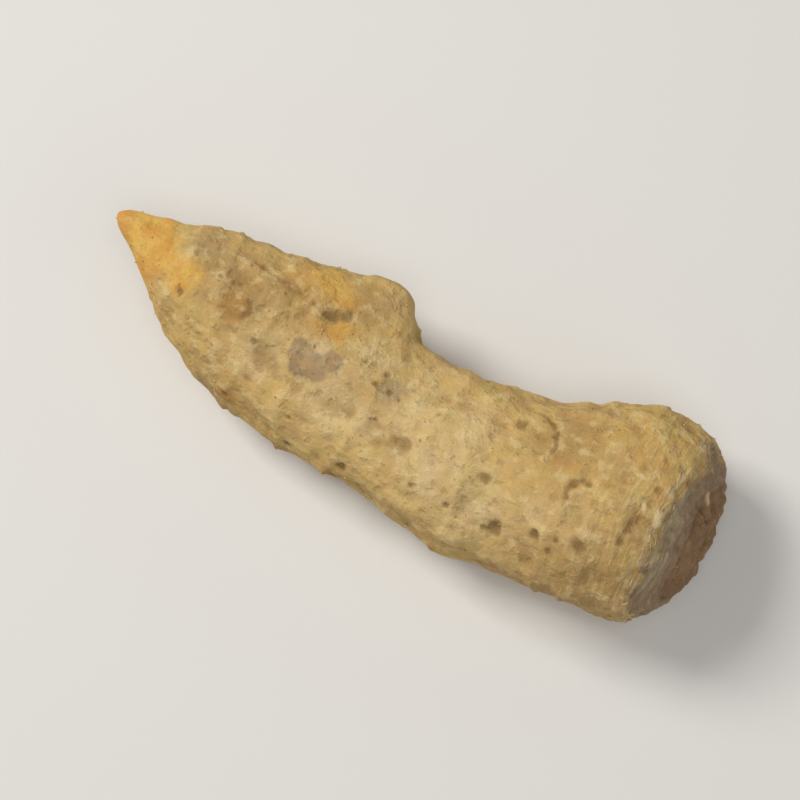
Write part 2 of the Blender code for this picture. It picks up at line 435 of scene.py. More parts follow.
# %% [markdown]
# ## Fine relief
# Dried skin is rough at every scale. Blender's own noise textures could displace a modifier, but then
# the colours couldn't know where the pits are. So the noise is worked out here with numpy, and the same
# arrays later say where the skin is dark, dusty or rubbed. This is gradient noise: every corner of a
# grid of unit cubes has a random slope, and a point blends the heights that its eight corners give it.

# %% Gradient noise
TABLE_SIZE = 256
SLOPES = np.array([slope for slope in itertools.product((-1, 0, 1), repeat=3) if sum(map(abs, slope)) == 2])


def noise(points, seed):
    """Smooth noise, about -0.8 to 0.8 and 0 on average, that changes over a unit of distance or so."""
    order = list(range(TABLE_SIZE))
    random.Random(seed).shuffle(order)
    order = np.array(order * 2)
    cell = np.floor(points).astype(int)
    inside = points - cell
    ease = inside**3 * (inside * (inside * 6 - 15) + 10)
    total = np.zeros(points.shape[:-1])
    for corner in itertools.product((0, 1), repeat=3):
        x, y, z = np.moveaxis((cell + corner) % TABLE_SIZE, -1, 0)
        slope = SLOPES[order[order[order[x] + y] + z] % len(SLOPES)]
        share = np.where(corner, ease, 1 - ease).prod(axis=-1)
        total += share * (slope * (inside - corner)).sum(axis=-1)
    return total


def eased(value, start, end):
    """Goes smoothly from 0 where the value is at start to 1 where it is at end."""
    share = np.clip((value - start) / (end - start), 0, 1)
    return share * share * (3 - 2 * share)


# %% [markdown]
# Two sets of coordinates, both in millimetres, steer the patterns. One is the place in space. The other
# follows the skin: how far a point is from the tip, and where it is round a cylinder of one radius. In
# the second, a pattern squeezed along its first axis makes fine rings, and one stretched along it
# makes lengthwise wrinkles, with no seam anywhere.

# %% Coordinates for the patterns
FLOW_RADIUS = 6.0
space = smooth / MM
from_tip = drawn[..., 0] * HALF_WIDTH_MM
from_axis = drawn[..., 1] * HALF_WIDTH_MM
step = np.linalg.norm(np.diff(space, axis=0), axis=-1).mean(axis=1)
travelled = np.concatenate([[0], np.cumsum(step)])[:, None] + np.zeros_like(T)
flow = np.stack([travelled, FLOW_RADIUS * np.cos(AROUND), FLOW_RADIUS * np.sin(AROUND)], axis=-1)
print("skin from pole to pole is", round(travelled.max(), 1), "mm long")


def across_flow(fineness, run):
    """Coordinates for a pattern of fine lines round the root: fineness apart, and run long, in mm."""
    return flow / (fineness, run, run)


def along_flow(fineness, run):
    """Coordinates for a pattern of fine lines along the root."""
    return flow / (run, fineness, fineness)


def layered_noise(*layers):
    """A sum of noises in space, each given by its height, its size in mm and its seed."""
    return sum(height * noise(space / size, seed) for height, size, seed in layers)


def tell_share(name, mask):
    """Prints how much of the grid a mask covers."""
    print(name, "on", round(100 * float(mask.mean()), 1), "% of the skin")


# %% [markdown]
# The broad relief is low lumps, and on them lie wrinkles of three kinds: thin lengthwise grooves where
# the flesh shrank, fine rings that crowd together near the broken end, and between them a crumpled,
# pumice-like roughness.

# %% Lumps and wrinkles
NEAR_END = (41, 47)
NEAR_TIP = (4.5, 8.0)
TIP_SMOOTHNESS = 0.75
LUMPS = ((0.26, 4.2, 302), (0.22, 1.9, 303))
CRUMPLE = ((0.085, 0.95, 304), (0.040, 0.50, 305))
GROOVE_DEPTH = 0.055
GROOVE_HALF = 0.10
FOLD_HEIGHT = 0.030
FOLD_AT_END = 0.065
upper_rim = eased(from_axis, 1.5, 6.0)
torn_from = LIP_AT - 0.08 * upper_rim + 0.10 * noise(space / 1.5, 301)
torn = eased(FORWARD, 0.20, 0.40) * eased(torn_from - OUT, -0.04 - 0.08 * upper_rim, 0.10 + 0.12 * upper_rim)
near_end = eased(travelled, *NEAR_END)
near_tip = 1 - eased(travelled, *NEAR_TIP)
on_body = 1 - TIP_SMOOTHNESS * near_tip
groove_lines = bell(noise(along_flow(1.5, 9.0), 306), GROOVE_HALF)
grooves = -GROOVE_DEPTH * groove_lines * eased(noise(space / 6.0, 307), -0.15, 0.25)
ring_folds = noise(across_flow(0.70, 3.6) + noise(space / 2.2, 308)[..., None] * 0.9, 309)
ring_folds = (FOLD_HEIGHT + FOLD_AT_END * near_end) * ring_folds
fine_relief = (layered_noise(*LUMPS) + layered_noise(*CRUMPLE) + grooves + ring_folds) * on_body
tell_share("torn flesh", torn)

# %% Threads on the rings
THREAD_HEIGHT = 0.090
THREAD_HALF = 0.16
ring_thread = np.zeros_like(T)
for _, strength, off in ring_lines(ALONG, AROUND):
    off_mm = off * SLENDERNESS * HALF_WIDTH_MM + 0.35 * noise(space / 1.4, 310)
    patchy = eased(noise(space / 2.6, 311) + 0.3 * strength, 0.0, 0.35)
    ring_thread += patchy * (bell(off_mm, THREAD_HALF) - bell(off_mm / THREAD_HALF - 2, 1))
hidden = 1 - eased(normals[..., 2], -0.1, 0.5)
fine_relief += THREAD_HEIGHT * ring_thread * on_body * (1 - torn) * (0.2 + 0.8 * hidden)
tell_share("ring threads", ring_thread > 0.2)

# %% [markdown]
# Next come single marks: the pits, creases and scars that make this root this root. Those that the
# photograph shows are given, in millimetres from the tip and to the side of the axis, and land on
# the skin where the camera sees that place. The camera looks down at a slant, so a high point of the skin
# appears further up the picture than the outline does, and that is allowed for. Near the broken end the
# line of sight also leans along the root, so the marks there are set that much nearer the middle. The
# rest of the skin gets pits at random, more of them towards the broken end.

# %% Finding places on the skin
PITS = (
    (7.0, 0.45, 0.35, 0.14), (13.5, -0.4, 0.34, 0.14), (23.3, 1.9, 0.30, 0.12), (22.9, 0.9, 0.28, 0.12),
    (24.0, 0.8, 0.34, 0.14), (33.6, 3.1, 0.50, 0.18), (32.9, -1.5, 0.46, 0.18), (35.2, -4.6, 0.66, 0.32),
    (37.9, -3.6, 0.40, 0.22), (40.9, -2.9, 0.56, 0.22), (31.4, -4.7, 0.24, 0.12), (38.6, 0.9, 0.30, 0.12),
    (39.6, 1.4, 0.24, 0.10), (23.3, -5.7, 0.45, 0.20), (44.1, 3.3, 0.34, 0.16), (39.4, -3.2, 0.26, 0.12),
    (28.4, -4.4, 0.24, 0.12), (43.4, -1.2, 0.34, 0.14), (39.3, -4.2, 0.30, 0.12), (9.2, 2.9, 0.24, 0.10),
)
# A crease's last number is how dark it is coloured: the crease's own brown, deepened by painted shade.
CREASES = (
    ((17.4, 3.9), (18.1, 4.1), (18.9, 4.6), 0.50, 0.15, 0.9),
    ((13.4, 4.9), (14.2, 4.7), (15.2, 4.4), 0.50, 0.16, 0.5),
    ((10.9, 5.1), (12.0, 5.0), (13.2, 4.8), 0.26, 0.12, 0.3),
    ((11.9, 2.1), (12.3, 1.5), (12.0, 0.9), 0.26, 0.18, 0.9),
    ((24.8, -2.9), (25.8, -2.4), (26.8, -1.9), 0.34, 0.10, 0.45),
    ((34.8, 4.5), (35.5, 4.2), (36.2, 3.6), 0.24, 0.12, 0.8),
    ((35.9, 3.5), (36.3, 3.1), (36.4, 2.4), 0.26, 0.12, 0.8),
    ((38.6, -0.2), (38.5, 1.0), (39.7, 1.5), 0.26, 0.13, 0.8),
    ((43.6, 0.9), (43.5, 0.3), (43.4, -0.3), 0.36, 0.12, 0.7),
)
OUTLINE_HEIGHT = 6.0
TOO_FAR = 99
FACES_UP_FROM = 0.05
to_camera = direction_of(VIEW_AZIMUTH, VIEW_ELEVATION)
above_outline = space[..., 2] - OUTLINE_HEIGHT
seen_along = from_tip - above_outline * to_camera.x / to_camera.z
seen_aside = from_axis - above_outline * to_camera.y / to_camera.z
space_points = space.reshape(-1, 3)
faces_up = normals[..., 2] > FACES_UP_FROM


def on_top(x, y):
    """The point of the skin that the camera sees at a place given from the tip and beside the axis. Each
    point is carried along the line of sight to the height of the outline, and the nearest one wins."""
    off = np.hypot(seen_along - x, seen_aside - y) + np.where(faces_up, 0, TOO_FAR)
    return space_points[off.argmin()]


def on_side(place, angle):
    """The point of the skin at a place along the root and an angle round it."""
    row = int(np.abs(ALONG[:, 0] - place).argmin())
    return space[row, int(angle / math.tau * COLUMNS) % COLUMNS]


def distance_from(point):
    """How far every point of the skin is from one point, in mm."""
    return np.linalg.norm(space - point, axis=-1)


def distance_from_line(start, middle, end, pieces=8):
    """How far every point of the skin is from a curve through three places on its top, in mm. The curve is
    a parabola, cut into straight pieces that lie on the skin."""
    share = np.linspace(0, 1, pieces + 1)[:, None]
    start, middle, end = np.array(start), np.array(middle), np.array(end)
    handle = 2 * middle - (start + end) / 2
    places = (1 - share) ** 2 * start + 2 * share * (1 - share) * handle + share**2 * end
    stops = [on_top(x, y) for x, y in places]
    nearest = np.full_like(T, np.inf)
    for first, second in zip(stops, stops[1:]):
        run = second - first
        along_run = np.clip((space - first) @ run / max(run @ run, 1e-9), 0, 1)
        nearest = np.minimum(nearest, np.linalg.norm(space - first - along_run[..., None] * run, axis=-1))
    return nearest


# %% Pits and creases
RANDOM_PITS = 260
RANDOM_DARKNESS = 0.8
PIT_RADII = (0.12, 0.42)
PIT_DEPTHS = (0.25, 0.5)
PIT_SEED = 77
PHOTOGRAPHED = 0.3
PHOTOGRAPHED_SHRINK = 0.6
RIM_SHARE = 0.22
ragged = 1 + 0.45 * noise(space / 0.35, 312)
pit_mask = np.zeros_like(T)


def press_pit(away, radius, depth):
    """One pit: a ragged hollow, a little raised all round. Gives its relief and its mask."""
    out = away / radius * ragged
    hollow = bell(out, 1)
    rim = RIM_SHARE * bell(out - 1.5, 0.45)
    return depth * (rim - hollow), hollow


def random_pits():
    """Places, radii and depths of pits all over the skin, crowding where a slow noise is high. They are
    smaller on the side that the photograph shows, as its large ones are listed."""
    draw = random.Random(PIT_SEED)
    smallest, largest = PIT_RADII
    crowd = noise(space / 5.0, 313) + 0.35 * near_end - 0.6 * near_tip - 0.5 * torn
    while True:
        row, column = draw.randrange(2, ROWS - 2), draw.randrange(COLUMNS)
        radius = smallest + (largest - smallest) * draw.random() ** 2.5
        if normals[row, column, 2] > PHOTOGRAPHED:
            radius *= PHOTOGRAPHED_SHRINK
        if draw.uniform(-0.5, 0.6) < crowd[row, column]:
            yield space[row, column], radius, radius * draw.uniform(*PIT_DEPTHS)


for x, y, radius, depth in PITS:
    relief, mask = press_pit(distance_from(on_top(x, y)), radius, depth)
    fine_relief += relief
    pit_mask = np.maximum(pit_mask, mask)
crease_gaps = noise(space / 0.8, 341)
for start, middle, end, half, depth, darkness in CREASES:
    relief, mask = press_pit(distance_from_line(start, middle, end), half, depth)
    fine_relief += relief
    pit_mask = np.maximum(pit_mask, darkness * mask * (0.7 + 0.3 * eased(crease_gaps, -0.35, 0.10)))
for point, radius, depth in itertools.islice(random_pits(), RANDOM_PITS):
    relief, mask = press_pit(distance_from(point), radius, depth)
    fine_relief += relief
    pit_mask = np.maximum(pit_mask, RANDOM_DARKNESS * mask)
tell_share("pits", pit_mask)

# %% [markdown]
# Rootlets once grew from the sides and the underside. Each left a low round mound with a hole in it.
# A bud scar is larger, and the dish that the solid already has gets a thin inner ring here. Beside the
# first one, the photograph shows a small smooth disc with a darker rim.

# %% Rootlet scars and bud scars
DISC_AT = (11.2, 1.3)
DISC_RADIUS = 1.25
ROOTLET_SCARS = 22
ROOTLET_ANGLES = (150, 390)
ROOTLET_RADII = (0.40, 0.70)
ROOTLET_SEED = 40
FIRST_SCAR_SHARE = 0.25
scar_mask = np.zeros_like(T)
draw = random.Random(ROOTLET_SEED)
for _ in range(ROOTLET_SCARS):
    near_ring = draw.choice(RINGS[2:])[0] + draw.uniform(-0.012, 0.012)
    point = on_side(near_ring, math.radians(draw.uniform(*ROOTLET_ANGLES)))
    out = distance_from(point) / draw.uniform(*ROOTLET_RADII) * (0.7 + 0.3 * ragged)
    fine_relief += 0.16 * bell(out, 1.1, 4) - 0.26 * bell(out, 0.45)
    scar_mask = np.maximum(scar_mask, bell(out, 1.3, 4))
    pit_mask = np.maximum(pit_mask, bell(out, 0.40))
half_width = smooth_through(WIDTH, ALONG)
for number, out in enumerate(out_from_scars(ALONG, AROUND, half_width)):
    out = out * (0.8 + 0.2 * ragged)
    fine_relief += 0.05 * bell(out - 0.55, 0.12) - 0.05 * bell(out, 0.3)
    scar_mask = np.maximum(scar_mask, (1.0 if number else FIRST_SCAR_SHARE) * bell(out, 1.05, 6))
out = distance_from(on_top(*DISC_AT)) / DISC_RADIUS * (0.8 + 0.2 * ragged)
fine_relief += 0.06 * bell(out - 1, 0.2) - 0.08 * bell(out, 0.7, 4)
scar_mask = np.maximum(scar_mask, bell(out, 1.05, 6))
tell_share("scars", scar_mask)

# %% [markdown]
# The broken end was snapped and then dried. In the outer flesh its fibres run round just inside the skin,
# and on one side they have greyed into a collar. The core broke like horn: it is lumpy and granular, with
# thin cracks that drying opened. A sunken line marks the ring between the two. A few pale flakes of the
# inner flesh still cling to the end, and are listed as the creases are.

# %% The torn end
CORE_AT = 0.62
CORE_LUMPS = ((0.42, 1.5, 348), (0.18, 0.55, 349))
LIP_ROUGHNESS = ((0.11, 0.8, 318), (0.06, 0.35, 319))
CHIP_HEIGHT = 0.08
CHIPS = (
    ((44.7, 2.0), (44.9, 1.6), (45.0, 1.2), 0.30),
    ((44.9, 3.7), (45.1, 3.5), (45.2, 3.3), 0.24),
    ((47.8, 4.6), (47.9, 4.4), (48.0, 4.2), 0.27),
    ((42.6, 3.8), (42.7, 3.7), (42.8, 3.6), 0.16),
    ((43.6, 1.9), (43.7, 1.8), (43.8, 1.6), 0.20),
)
splinters = noise(space / (2.5, 0.55, 0.55), 314)
torn_strokes = noise(across_flow(0.45, 2.0) + noise(space / 1.3, 350)[..., None] * 0.8, 315)
core_edge = OUT - CORE_AT + 0.04 * noise(space / 1.2, 316)
core_mask = 1 - eased(core_edge, -0.02, 0.03)
core_line = bell(core_edge, 0.035)
grey_side = eased(1.2 * noise(space / 2.0, 352) - np.abs(from_axis - 0.6), -4.2, -2.4)
collar = eased(OUT + 0.08 * noise(space / 1.6, 351), 0.68, 0.82) * (0.2 + 0.8 * grey_side)
cracks = bell(noise(space / 2.6, 345), 0.05) * eased(noise(space / 3.0, 346), -0.1, 0.3)
broken_core = layered_noise(*CORE_LUMPS) - 0.20 * cracks
torn_flesh = 0.20 * splinters + 0.06 * torn_strokes
torn_relief = torn_flesh + (broken_core - torn_flesh) * core_mask - 0.08 * core_line
torn_relief += 0.22 * noise(space / 2.8, 317)
fine_relief = fine_relief * (1 - 0.6 * torn) + torn_relief * torn
lip = bell(OUT - LIP_AT, 0.05) * eased(FORWARD, 0.15, 0.35)
fine_relief += lip * layered_noise(*LIP_ROUGHNESS)
chip_mask = np.zeros_like(T)
for start, middle, end, half in CHIPS:
    out = distance_from_line(start, middle, end) / half * ragged
    chip_mask = np.maximum(chip_mask, bell(out, 1))
fine_relief += CHIP_HEIGHT * chip_mask
print("fine relief", np.round([fine_relief.min(), fine_relief.max()], 2), "mm")

# %% Raising the relief
surface = smooth + normals * fine_relief[..., None] * MM
surface[..., 2] = np.maximum(surface[..., 2], low[2])
skin_normals = normals_of(surface)

# %% [markdown]
# ## Masks for the colours
# Dust settles in hollows and is rubbed off ridges, but the hollows are also darker brown, partly the brown of
# old skin and partly painted shade. Both need to know what is high and what is low, so the whole relief is
# compared with a blurred copy of itself.

# %% What is high and what is low
BLUR_STEPS = 50


def blurred(values, steps):
    """Each step takes every point a little towards its four neighbours. Columns join up, rows don't."""
    for _ in range(steps):
        rows = np.pad(values, ((1, 1), (0, 0)), mode="edge")
        values = (values + (rows[:-2] + rows[2:]) / 2) / 2
        values = (values + (np.roll(values, 1, axis=1) + np.roll(values, -1, axis=1)) / 2) / 2
    return values


whole_relief = ((surface - smooth) * normals).sum(axis=-1) / MM
whole_relief += HALF_WIDTH_MM * body_relief(ALONG, AROUND, half_width)
stands_out = whole_relief - blurred(whole_relief, BLUR_STEPS)
cracks *= torn * core_mask
# The mask of the hollows, which darkens them brown: partly the skin's own brown and partly painted shade.
hollow_brown_and_shade_mask = eased(-stands_out, 0.03, 0.20) * (1 - 0.7 * scar_mask)
high_mask = eased(stands_out, 0.02, 0.14)
tell_share("hollows", hollow_brown_and_shade_mask)
tell_share("ridges", high_mask)

# %% Rubbed and bruised places, and a patch of painted shade
BARE_PATCHES = ((6.6, 1.8, 1.9, 0.8), (16.3, 6.3, 2.2, 0.8), (14.2, 5.9, 1.2, 0.4), (17.9, 5.5, 1.4, 0.6),
                (18.7, 3.2, 1.3, 0.75), (17.4, 2.8, 1.1, 0.5), (20.0, 3.4, 1.2, 0.4))
# The last of the bruises, on the upper side of the broken end, is painted shade on that side of the end.
BRUISES_AND_SHADE = ((16.8, 0.6, 0.95, 1.0), (19.3, 0.9, 0.85, 1.0), (17.5, -0.3, 0.90, 1.0), (18.4, 0.0, 1.05, 1.0),
           (23.9, 1.0, 1.1, 0.5), (26.2, -2.4, 1.1, 0.4), (7.2, 4.6, 1.6, 0.4), (9.3, 3.8, 1.5, 0.3),
           (47.2, 7.2, 1.8, 0.8))
EDGE_NOISE = ((0.30, 1.1, 320), (0.20, 0.45, 321))
BARE_TIP = (4.8, 7.4)
HIDDEN_PATCHES = 9
HIDDEN_PLACES = (0.15, 0.85)
HIDDEN_ANGLES = (195, 345)
HIDDEN_RADII = (1.0, 2.6)
HIDDEN_GREY = 0.8
HIDDEN_BARE = 0.9
HIDDEN_SEED = 61
edge_noise = layered_noise(*EDGE_NOISE)


def patch_round(point, radius, start, end):
    """A round patch with a ragged edge, which fades between two shares of its radius."""
    return 1 - eased(distance_from(point) / radius + edge_noise, start, end)


def patches(spots, start, end):
    """The strongest of some listed patches."""
    masks = [share * patch_round(on_top(x, y), size, start, end) for x, y, size, share in spots]
    return np.max(masks, axis=0)


tip_edge = from_tip + 0.60 * np.abs(from_axis - 1.8) + 2.0 * edge_noise
bare_mask = np.maximum(1 - eased(tip_edge, *BARE_TIP), patches(BARE_PATCHES, 0.3, 1.3))
bruise_and_shade_mask = patches(BRUISES_AND_SHADE, 0.6, 1.25)
draw = random.Random(HIDDEN_SEED)
for number in range(HIDDEN_PATCHES):
    point = on_side(draw.uniform(*HIDDEN_PLACES), math.radians(draw.uniform(*HIDDEN_ANGLES)))
    patch = patch_round(point, draw.uniform(*HIDDEN_RADII), 0.5, 1.2)
    if number % 2:
        bruise_and_shade_mask = np.maximum(bruise_and_shade_mask, HIDDEN_GREY * patch)
    else:
        bare_mask = np.maximum(bare_mask, HIDDEN_BARE * patch)
bare_mask *= 1 - torn
tell_share("rubbed skin", bare_mask)
tell_share("bruises and painted shade", bruise_and_shade_mask)

# %% [markdown]
# Under the small marks the skin drifts slowly between three tints: pale where the dust lies thick, warm
# where it is thin, and brown where it is old and stained; near the broken end, most of all on its lower
# side, the brown spots are painted shade. Each is a few soft spots set where the photograph has them, and
# a slow noise on the sides that it doesn't show.

# %% Slow tints
PALE_SPOTS = ((26.0, 0.5, 4.5, 0.9), (29.5, -2.5, 4.5, 1.0), (33.5, -4.0, 3.6, 1.0), (20.5, -2.0, 3.4, 1.0),
              (40.5, -1.0, 2.2, 0.7), (26.7, -4.9, 1.6, 0.6), (37.0, -2.5, 2.5, 0.8), (14.5, -1.0, 2.8, 1.0),
              (11.0, -2.6, 2.4, 0.6), (16.5, -4.0, 2.5, 0.5), (18.0, 1.7, 1.4, 1.0), (21.8, 2.4, 2.4, 1.0),
              (30.5, 1.0, 2.8, 1.0), (23.5, -2.0, 2.2, 1.0), (10.0, 2.0, 1.0, 0.5))
WARM_SPOTS = ((34.0, 1.8, 2.6, 0.4), (39.0, 4.8, 4.5, 1.0), (41.5, 2.0, 3.0, 0.7), (15.0, 5.5, 3.5, 0.6),
              (43.5, 4.0, 3.0, 0.8), (19.0, 4.2, 1.8, 0.5), (26.7, -4.9, 1.2, 0.4), (7.5, 1.5, 2.0, 0.4),
              (15.5, -4.6, 3.0, 0.6), (6.0, -1.8, 2.4, 0.7), (10.0, -2.6, 2.4, 0.6), (36.5, 1.0, 2.5, 0.4))
# Brown spots: stains, and near the broken end, mostly on its lower side, painted shade.
BROWN_STAIN_AND_SHADE_SPOTS = ((9.5, 4.2, 2.4, 0.7), (13.9, 4.7, 1.8, 0.8), (12.2, 2.2, 1.9, 1.0), (40.0, -7.0, 4.2, 1.0),
               (44.2, 0.0, 2.0, 1.0), (13.5, -0.4, 0.9, 0.6), (42.5, -5.5, 4.5, 1.0), (45.5, -4.8, 3.2, 1.0),
               (37.0, -7.5, 3.4, 0.7), (18.2, 4.2, 1.4, 1.0), (12.8, 3.6, 2.4, 0.9), (37.0, 3.5, 3.0, 0.8),
               (42.5, -2.6, 2.0, 0.6), (12.5, -6.2, 2.6, 0.9), (20.6, 0.2, 1.2, 0.5), (20.0, 6.2, 2.0, 0.9),
               (7.4, 4.8, 1.8, 0.7), (44.0, -3.2, 2.4, 0.7), (41.0, -4.4, 2.2, 0.6), (36.5, -6.0, 2.0, 0.6),
               (40.5, 3.5, 1.8, 0.5), (8.2, 2.2, 1.6, 0.8), (24.0, 0.4, 1.6, 0.5), (38.0, 0.4, 1.6, 0.5))


def tint_mask(spots, seed):
    """The soft spots of one tint, and its slow noise on the hidden sides."""
    mask = 0.8 * hidden * eased(noise(space / 5.5, seed), -0.08, 0.32)
    for x, y, radius, strength in spots:
        out = distance_from(on_top(x, y)) / radius + 0.5 * edge_noise
        mask = np.maximum(mask, strength * bell(np.maximum(out, 0), 1))
    return mask


pale_mask = tint_mask(PALE_SPOTS, 331)
warm_mask = tint_mask(WARM_SPOTS, 332)
brown_stain_and_shade_mask = tint_mask(BROWN_STAIN_AND_SHADE_SPOTS, 333)
for name, mask in (("pale dust", pale_mask), ("warm skin", warm_mask), ("brown stains and painted shade", brown_stain_and_shade_mask)):
    tell_share(name, mask)

# %% [markdown]
# ## The skin's mesh
# Everything worked out above goes into one closed mesh: the points, and a value of each mask at every
# point, which the material reads. The same builder makes the small pieces later, so it takes many
# closed grids at once. In each, the first and last rows are drawn together into one point.

# %% Building closed grids
def closed_grids_mesh(name, grids, marks=None):
    """A mesh of closed grids, given as an array of grid, row, column and coordinate."""
    count, rows, columns = grids.shape[:3]
    ends = grids[:, [0, -1]].mean(axis=2)
    verts = np.concatenate([ends[:, :1], grids[:, 1:-1].reshape(count, -1, 3), ends[:, 1:]], axis=1)
    ring = np.arange(columns)
    after = np.roll(ring, -1)
    start = 1 + np.arange(rows - 3)[:, None] * columns
    quads = np.stack([start + ring, start + after, start + columns + after, start + columns + ring], -1)
    last = verts.shape[1] - 1
    base = last - columns
    first_fan = np.stack([np.zeros_like(ring), 1 + after, 1 + ring], -1)
    last_fan = np.stack([np.full_like(ring, last), base + ring, base + after], -1)
    shift = (np.arange(count) * verts.shape[1])[:, None, None]
    faces = (quads.reshape(-1, 4) + shift).reshape(-1, 4).tolist()
    faces += (first_fan + shift).reshape(-1, 3).tolist() + (last_fan + shift).reshape(-1, 3).tolist()
    mesh = bpy.data.meshes.new(name)
    mesh.from_pydata(verts.reshape(-1, 3).tolist(), [], faces)
    for mark, values in (marks or {}).items():
        width = values.shape[3:]
        firsts, lasts = values[:, 0].mean(axis=1)[:, None], values[:, -1].mean(axis=1)[:, None]
        middle = values[:, 1:-1].reshape((count, -1) + width)
        flat = np.concatenate([firsts, middle, lasts], axis=1).astype(np.float32).ravel()
        kind, field = ("FLOAT_VECTOR", "vector") if width else ("FLOAT", "value")
        mesh.attributes.new(mark, kind, "POINT").data.foreach_set(field, flat)
    mesh.shade_smooth()
    return mesh


def add_piece(name, mesh, material, replaces=None):
    """Puts a finished mesh in the scene as a piece that rides on the root."""
    piece = bpy.data.objects.new(name, mesh)
    bpy.context.scene.collection.objects.link(piece)
    mesh.materials.append(material)
    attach(piece, ROOT_BODY)
    if replaces:
        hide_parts(replaces)
    print(name, "has", sum(len(face.vertices) - 2 for face in mesh.polygons), "triangles")


# %% [markdown]
# ## Materials
# A node tree is easier to read when one call makes a node, sets its values and links its inputs. So a
# few helpers come first, and then the effects that more than one material uses, as node groups.

# %% Node helpers
NUMBER = "NodeSocketFloat"
VECTOR = "NodeSocketVector"


def place(tree, kind, inputs=None, **settings):
    """A new node. An input that is given a socket is linked to it, and any other value is set."""
    made = tree.nodes.new(kind)
    for name, value in settings.items():
        setattr(made, name, value)
    for name, value in (inputs or {}).items():
        if isinstance(value, bpy.types.NodeSocket):
            tree.links.new(value, made.inputs[name])
        else:
            made.inputs[name].default_value = value
    return made


def worked(tree, operation, *values):
    """The result of a Math node."""
    return place(tree, "ShaderNodeMath", dict(enumerate(values)), operation=operation).outputs[0]


def mixed(tree, share, first, second):
    """A colour that is first where the share is 0 and second where it is 1."""
    return place(tree, "ShaderNodeMix", {0: share, 6: first, 7: second}, data_type="RGBA").outputs[2]


def between(tree, value, start, end, low_value=0.0, high_value=1.0):
    """Eases from one value to another as the input goes from start to end."""
    inputs = {"Value": value, "From Min": start, "From Max": end, "To Min": low_value, "To Max": high_value}
    return place(tree, "ShaderNodeMapRange", inputs, interpolation_type="SMOOTHSTEP").outputs["Result"]


def new_group(name, inputs, output):
    """An empty node group with named inputs and one output. Gives the group and its inner sockets."""
    group = bpy.data.node_groups.new(name, "ShaderNodeTree")
    for label, kind in inputs.items():
        group.interface.new_socket(name=label, in_out="INPUT", socket_type=kind)
    group.interface.new_socket(name=output, in_out="OUTPUT", socket_type=NUMBER)
    return group, group.nodes.new("NodeGroupInput").outputs, group.nodes.new("NodeGroupOutput").inputs[0]


def use_group(tree, group, **inputs):
    """Places a node group in a tree, with its inputs by name, and gives its first output."""
    return place(tree, "ShaderNodeGroup", inputs, node_tree=group).outputs[0]


# %% [markdown]
# Mottling is soft cloudy noise pushed towards black and white. Flecks are the high tops of a finer
# noise. Powder is the height of the dust itself, which is grain on grain. Each takes its size in
# millimetres, so the same group serves the skin and the crumbs.

# %% Groups for mottling, flecks and powder
def scaled_noise(tree, vector, size, detail, roughness, distortion=0.0):
    """A Noise Texture whose features are about size wide, in the units of the vector."""
    inputs = {"Vector": vector, "Scale": worked(tree, "DIVIDE", 1.0, size), "Detail": detail,
              "Roughness": roughness, "Distortion": distortion}
    return place(tree, "ShaderNodeTexNoise", inputs).outputs["Fac"]


def make_mottling():
    """Cloudy noise, eased from nothing to full within Spread of its middle."""
    inputs = {"Place": VECTOR, "Size": NUMBER, "Spread": NUMBER}
    group, given, result = new_group("mottling", inputs, "Mask")
    cloud = scaled_noise(group, given["Place"], given["Size"], 4.0, 0.55)
    bottom = worked(group, "SUBTRACT", 0.5, given["Spread"])
    top = worked(group, "ADD", 0.5, given["Spread"])
    group.links.new(between(group, cloud, bottom, top), result)
    return group


def make_flecks():
    """The tops of a noise: nothing below From, and full at From plus Softness."""
    inputs = {"Place": VECTOR, "Size": NUMBER, "From": NUMBER, "Softness": NUMBER}
    group, given, result = new_group("flecks", inputs, "Mask")
    spots = scaled_noise(group, given["Place"], given["Size"], 2.0, 0.55)
    top = worked(group, "ADD", given["From"], given["Softness"])
    group.links.new(between(group, spots, given["From"], top), result)
    return group


def make_powder():
    """A coarse noise, and half of one that is a third of its size."""
    group, given, result = new_group("powder", {"Place": VECTOR, "Size": NUMBER}, "Height")
    coarse = scaled_noise(group, given["Place"], given["Size"], 3.0, 0.65)
    finer = worked(group, "MULTIPLY", given["Size"], 0.35)
    fine = scaled_noise(group, given["Place"], finer, 2.0, 0.6)
    group.links.new(worked(group, "MULTIPLY_ADD", fine, 0.5, coarse), result)
    return group


mottling, flecks, powder = make_mottling(), make_flecks(), make_powder()
print("node groups:", [group.name for group in bpy.data.node_groups])

# %% More node helpers
def attribute(tree, name, output="Fac"):
    """A mask or a vector that the mesh carries."""
    return place(tree, "ShaderNodeAttribute", attribute_name=name).outputs[output]


def millimetres(tree):
    """The place on the object in millimetres."""
    where = place(tree, "ShaderNodeTexCoord").outputs["Object"]
    return place(tree, "ShaderNodeVectorMath", {0: where, "Scale": 1000.0}, operation="SCALE").outputs[0]


def new_material(name):
    """A material with its node tree and its Principled BSDF, ready for links."""
    material = bpy.data.materials.new(name)
    material.use_nodes = True
    return material, material.node_tree, material.node_tree.nodes["Principled BSDF"]


def moved(tree, vector, x, y, z):
    """The same coordinates from another corner of the noise, so that two patterns don't match."""
    return place(tree, "ShaderNodeVectorMath", {0: vector, 1: (x, y, z)}, operation="ADD").outputs[0]


def stretched(tree, vector, x, y, z):
    """Coordinates divided axis by axis, which stretches a pattern along them."""
    return place(tree, "ShaderNodeVectorMath", {0: vector, 1: (x, y, z)}, operation="DIVIDE").outputs[0]


def crisp(tree, mask, rough, middle, half, bite=0.5):
    """A mask with a crisp, ragged edge, got by adding a fine noise to a soft mask before it is cut."""
    uneven = worked(tree, "MULTIPLY_ADD", rough, bite, worked(tree, "SUBTRACT", mask, bite / 2))
    return between(tree, uneven, middle - half, middle + half)


